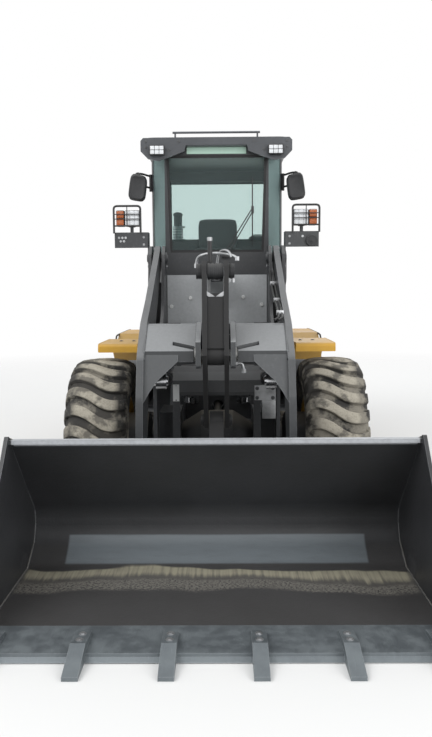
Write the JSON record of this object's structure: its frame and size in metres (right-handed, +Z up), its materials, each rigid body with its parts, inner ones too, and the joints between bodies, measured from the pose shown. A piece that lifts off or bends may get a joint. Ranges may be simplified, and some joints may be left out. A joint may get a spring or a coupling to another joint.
{
  "type": "wheel loader",
  "caption": "Compact articulated wheel loader with a toothed bucket, Z-bar linkage, glazed cab, hinged hood and doors, four lugged tyres",
  "frame": {"origin": "on the ground, in the middle of the machine's outline at rest", "axes": "+Z up, the machine faces -Y, +X is its left side"},
  "size_m": [2.15, 5.81, 2.817],
  "materials": {
    "charcoal": "satin charcoal paint, dusty",
    "frame_paint": "satin dark grey paint, dusty",
    "yellow": "gloss yellow-orange paint, dusty",
    "bucket_steel": "worn dark grey paint and scuffed steel",
    "edge_steel": "worn blue-grey steel",
    "pin_steel": "greased steel",
    "rod_chrome": "hard chrome",
    "tyre": "black rubber with dried khaki dirt",
    "rim": "painted steel, dusty",
    "glass": "green-tinted safety glass",
    "plastic": "dark grey plastic",
    "seat": "dark seat cover",
    "iron": "painted casting",
    "lamp": "lamp housing"
  },
  "bodies": {
    "rear_chassis": {"rear_frame": "frame_paint", "counterweight": "iron", "engine": "iron", "rear_axle": "iron", "side_tanks": "frame_paint", "rear_fenders": "yellow", "cab_shell": "charcoal", "cab_roof": "charcoal", "cab_glass": "glass", "work_lamps": "lamp", "seat": "seat", "console": "plastic", "mirrors": "plastic", "cowl": "yellow", "exhaust_stack": "plastic"},
    "hood_lid": {"hood": "yellow", "hood_grille": "charcoal"},
    "left_door": {"door_left": "charcoal", "door_glass_left": "glass"},
    "right_door": {"door_right": "charcoal", "door_glass_right": "glass"},
    "front_chassis": {"front_frame": "frame_paint", "front_axle": "iron", "front_fenders": "yellow", "head_lamps": "lamp"},
    "boom_arm": {"boom": "charcoal"},
    "bucket_hinge_pins": {"bucket_pins": "pin_steel"},
    "loader_bucket": {"bucket": "bucket_steel", "cutting_edge": "edge_steel"},
    "rocker_hub_pin": {"rocker_pin": "pin_steel"},
    "rocker_lever": {"rocker": "charcoal"},
    "link_lug_pin": {"link_pin": "pin_steel"},
    "link_bar": {"tilt_link": "charcoal"},
    "lift_cylinder_barrels": {"lift_barrels": "charcoal"},
    "lift_cylinder_rods": {"lift_rods": "rod_chrome"},
    "tilt_cylinder_barrel": {"tilt_barrel": "charcoal"},
    "tilt_cylinder_rod": {"tilt_rod": "rod_chrome"},
    "steer_cylinder_left": {"steer_barrel_left": "charcoal"},
    "steer_cylinder_right": {"steer_barrel_right": "charcoal"},
    "steer_piston_left": {"steer_rod_left": "rod_chrome"},
    "steer_piston_right": {"steer_rod_right": "rod_chrome"},
    "wheel_front_left": {"tyre_front_left": "tyre", "rim_front_left": "rim"},
    "wheel_front_right": {"tyre_front_right": "tyre", "rim_front_right": "rim"},
    "wheel_rear_left": {"tyre_rear_left": "tyre", "rim_rear_left": "rim"},
    "wheel_rear_right": {"tyre_rear_right": "tyre", "rim_rear_right": "rim"}
  },
  "joints": [
    {"name": "steering", "type": "hinge", "parent": "rear_chassis", "child": "front_chassis", "pos_m": [0, 0.55, 0.7], "axis": [0, 0, 1], "range_deg": [-35, 35]},
    {"name": "front_left_wheel_spin", "type": "hinge", "parent": "front_chassis", "child": "wheel_front_left", "pos_m": [0.79, -0.575, 0.54], "axis": [1, 0, 0], "continuous": true},
    {"name": "front_right_wheel_spin", "type": "hinge", "parent": "front_chassis", "child": "wheel_front_right", "pos_m": [-0.79, -0.575, 0.54], "axis": [1, 0, 0], "continuous": true},
    {"name": "rear_left_wheel_spin", "type": "hinge", "parent": "rear_chassis", "child": "wheel_rear_left", "pos_m": [0.79, 1.675, 0.54], "axis": [1, 0, 0], "continuous": true},
    {"name": "rear_right_wheel_spin", "type": "hinge", "parent": "rear_chassis", "child": "wheel_rear_right", "pos_m": [-0.79, 1.675, 0.54], "axis": [1, 0, 0], "continuous": true},
    {"name": "door_left_hinge", "type": "hinge", "parent": "rear_chassis", "child": "left_door", "pos_m": [0.562, 1.322, 1.875], "axis": [0, 0, 1], "range_deg": [0, 100]},
    {"name": "door_right_hinge", "type": "hinge", "parent": "rear_chassis", "child": "right_door", "pos_m": [-0.562, 1.322, 1.875], "axis": [0, 0, -1], "range_deg": [0, 100]},
    {"name": "hood_hinge", "type": "hinge", "parent": "rear_chassis", "child": "hood_lid", "pos_m": [0, 1.868, 1.866], "axis": [1, 0, 0], "range_deg": [0, 50]},
    {"name": "boom_lift", "type": "hinge", "parent": "front_chassis", "child": "boom_arm", "pos_m": [0, 0.015, 1.8], "axis": [-1, 0, 0], "range_deg": [0, 78]},
    {"name": "bucket_pin_turn", "type": "hinge", "parent": "boom_arm", "child": "bucket_hinge_pins", "pos_m": [0, -1.425, 0.285], "axis": [1, 0, 0], "range_deg": [0, 78.01]},
    {"name": "bucket_tilt", "type": "hinge", "parent": "bucket_hinge_pins", "child": "loader_bucket", "pos_m": [0, -1.425, 0.285], "axis": [1, 0, 0], "range_deg": [-40, 45]},
    {"name": "rocker_pin_turn", "type": "hinge", "parent": "boom_arm", "child": "rocker_hub_pin", "pos_m": [0, -1.275, 1.165], "axis": [-1, 0, 0], "range_deg": [0, 22.36]},
    {"name": "rocker_turn", "type": "hinge", "parent": "rocker_hub_pin", "child": "rocker_lever", "pos_m": [0, -1.275, 1.165], "axis": [-1, 0, 0], "range_deg": [-10.09, 11.35]},
    {"name": "link_pin_turn", "type": "hinge", "parent": "loader_bucket", "child": "link_lug_pin", "pos_m": [0, -1.523, 0.43], "axis": [-1, 0, 0], "range_deg": [0, 54.02]},
    {"name": "link_turn", "type": "hinge", "parent": "link_lug_pin", "child": "link_bar", "pos_m": [0, -1.523, 0.43], "axis": [-1, 0, 0], "range_deg": [-33.17, 37.31]},
    {"name": "lift_barrel_turn", "type": "hinge", "parent": "front_chassis", "child": "lift_cylinder_barrels", "pos_m": [0, 0.325, 0.85], "axis": [-1, 0, 0], "range_deg": [0, 49.93]},
    {"name": "lift_rod_slide", "type": "slide", "parent": "lift_cylinder_barrels", "child": "lift_cylinder_rods", "axis": [0, -0.9957, 0.0927], "range_m": [0, 0.8677]},
    {"name": "tilt_barrel_turn", "type": "hinge", "parent": "front_chassis", "child": "tilt_cylinder_barrel", "pos_m": [0, -0.066, 1.672], "axis": [-1, 0, 0], "range_deg": [0, 73.85]},
    {"name": "tilt_rod_slide", "type": "slide", "parent": "tilt_cylinder_barrel", "child": "tilt_cylinder_rod", "axis": [0, -1, -0.0059], "range_m": [-0.13236, 0.11767]},
    {"name": "steer_barrel_left_turn", "type": "hinge", "parent": "rear_chassis", "child": "steer_cylinder_left", "pos_m": [0.285, 1, 0.65], "axis": [0, 0, 1], "range_deg": [-12.57, 12.57]},
    {"name": "steer_rod_left_slide", "type": "slide", "parent": "steer_cylinder_left", "child": "steer_piston_left", "axis": [-0.0995, -0.995, 0], "range_m": [-0.1432, 0.1432]},
    {"name": "steer_barrel_right_turn", "type": "hinge", "parent": "rear_chassis", "child": "steer_cylinder_right", "pos_m": [-0.285, 1, 0.65], "axis": [0, 0, 1], "range_deg": [-12.57, 12.57]},
    {"name": "steer_rod_right_slide", "type": "slide", "parent": "steer_cylinder_right", "child": "steer_piston_right", "axis": [0.0995, -0.995, 0], "range_m": [-0.1432, 0.1432]}
  ],
  "couplings": [
    {"joint": "bucket_pin_turn", "follows": "boom_lift", "ratio": 1},
    {"joint": "rocker_pin_turn", "follows": "boom_lift", "ratio": 0.2865},
    {"joint": "rocker_turn", "follows": "bucket_tilt", "ratio": 0.2521},
    {"joint": "link_pin_turn", "follows": "boom_lift", "ratio": 0.6924},
    {"joint": "link_turn", "follows": "bucket_tilt", "ratio": 0.8289},
    {"joint": "lift_barrel_turn", "follows": "boom_lift", "ratio": 0.64},
    {"joint": "lift_rod_slide", "follows": "boom_lift", "m_per_rad": 0.63731},
    {"joint": "tilt_barrel_turn", "follows": "boom_lift", "ratio": 0.9467},
    {"joint": "tilt_rod_slide", "follows": "bucket_tilt", "m_per_rad": -0.1684},
    {"joint": "steer_barrel_left_turn", "follows": "steering", "ratio": 0.359},
    {"joint": "steer_barrel_right_turn", "follows": "steering", "ratio": 0.359},
    {"joint": "steer_rod_left_slide", "follows": "steering", "m_per_rad": -0.23426},
    {"joint": "steer_rod_right_slide", "follows": "steering", "m_per_rad": 0.23426}
  ]
}
